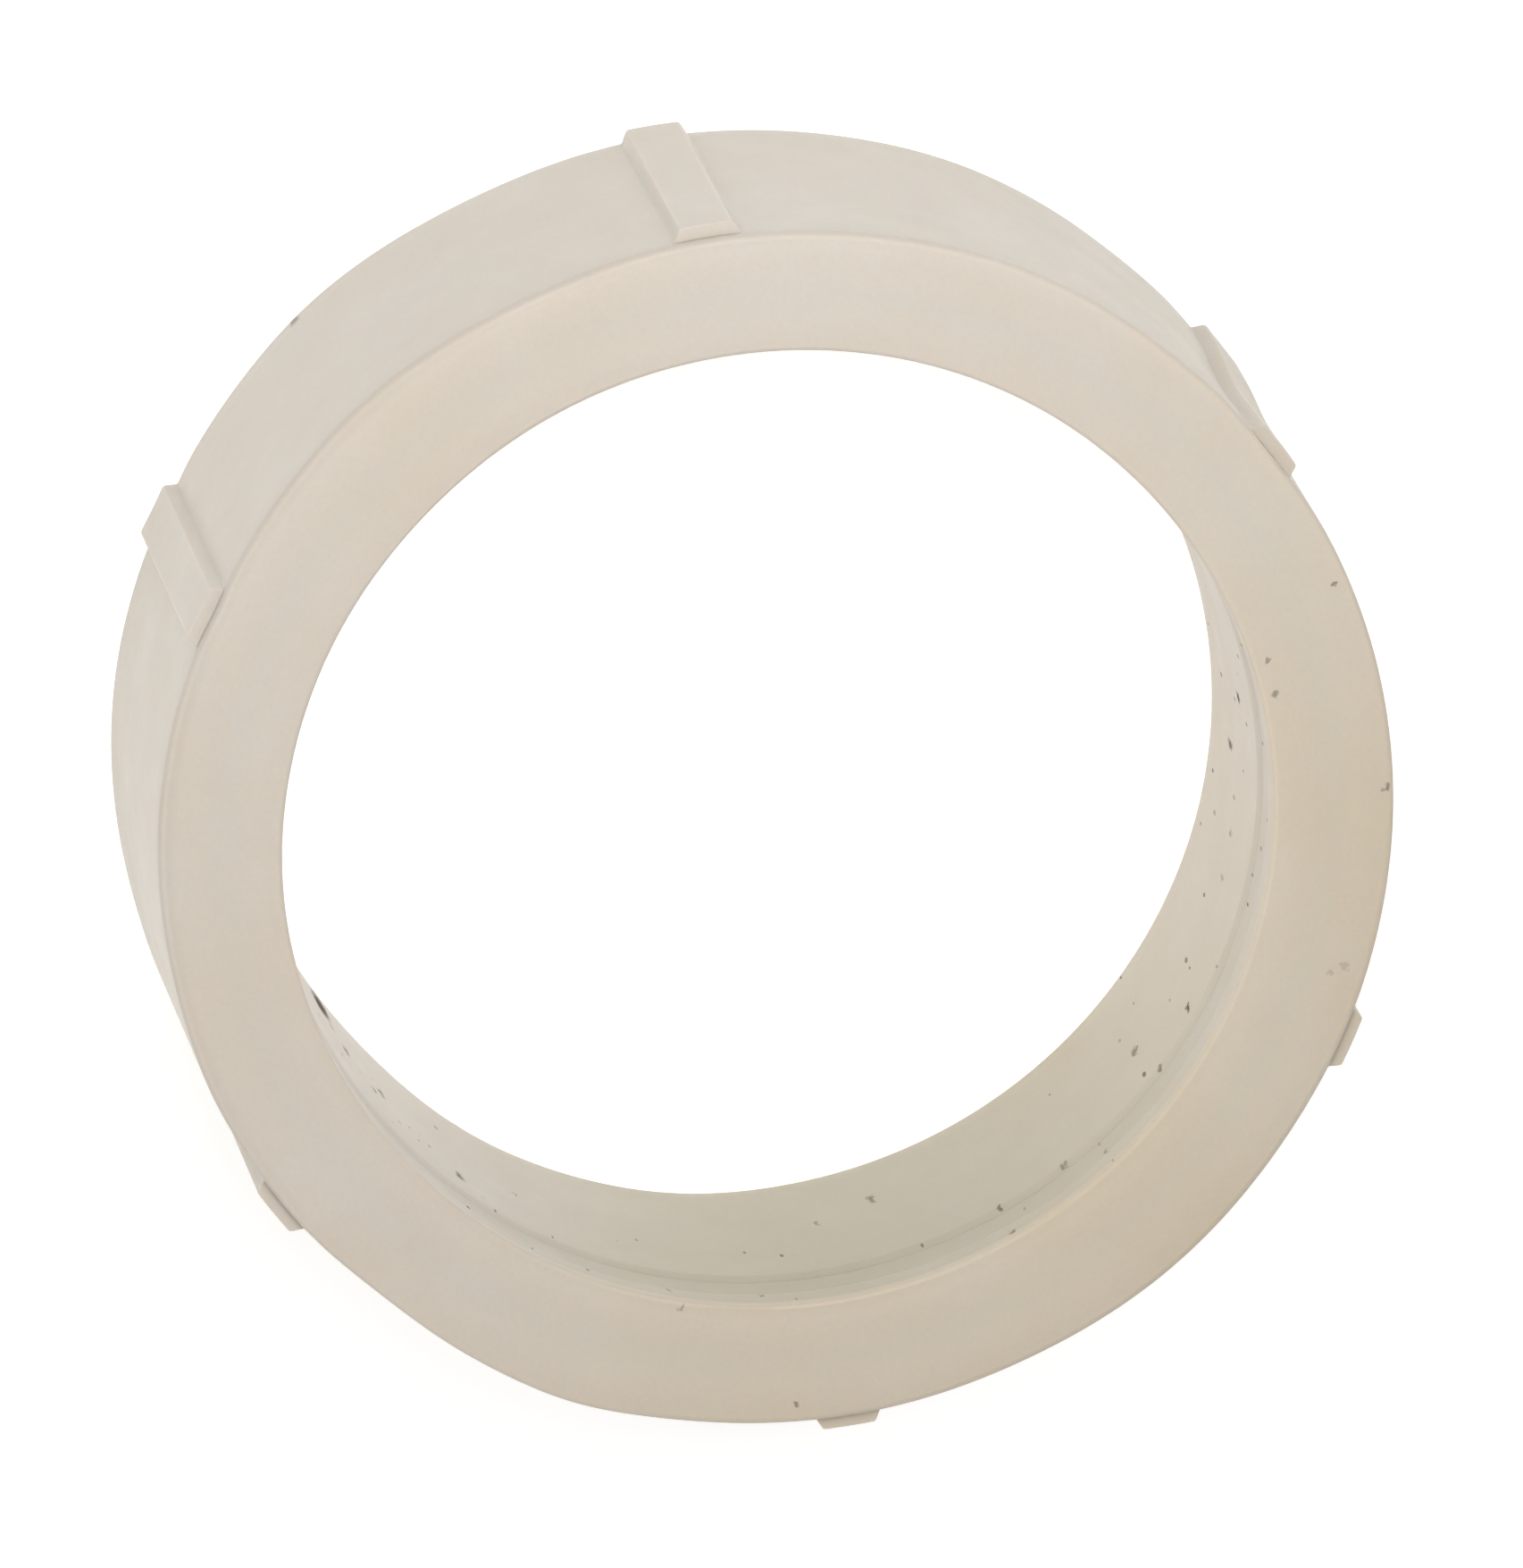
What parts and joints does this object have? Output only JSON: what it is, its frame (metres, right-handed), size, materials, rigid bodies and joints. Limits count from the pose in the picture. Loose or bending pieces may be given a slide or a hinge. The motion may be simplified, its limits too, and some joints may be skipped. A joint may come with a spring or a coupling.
{
  "type": "toilet flange seal ring",
  "caption": "Thick milky ring with a plain bore and axial grip ribs, built from a face ring, sleeves, hoop and soft core, that seals a toilet outlet in a soil-pipe socket.",
  "frame": {"origin": "centre of the rear face, on the ring's axis", "axes": "+Z along the bore axis, out through the front face; +X through the crest of one grip rib"},
  "size_m": [0.1098, 0.1076, 0.0325],
  "materials": {
    "face_skin": "satin",
    "sleeve_skin": "satin",
    "bore_skin": "satin",
    "rear_skin": "satin",
    "hoop_plastic": "matte",
    "filler_foam": "matte"
  },
  "bodies": {
    "root": {"face_ring": "face_skin", "outer_sleeve": "sleeve_skin", "bore_sleeve": "bore_skin", "rear_ring": "rear_skin", "stiffener_hoop": "hoop_plastic", "filler_ring": "filler_foam"}
  },
  "joints": []
}
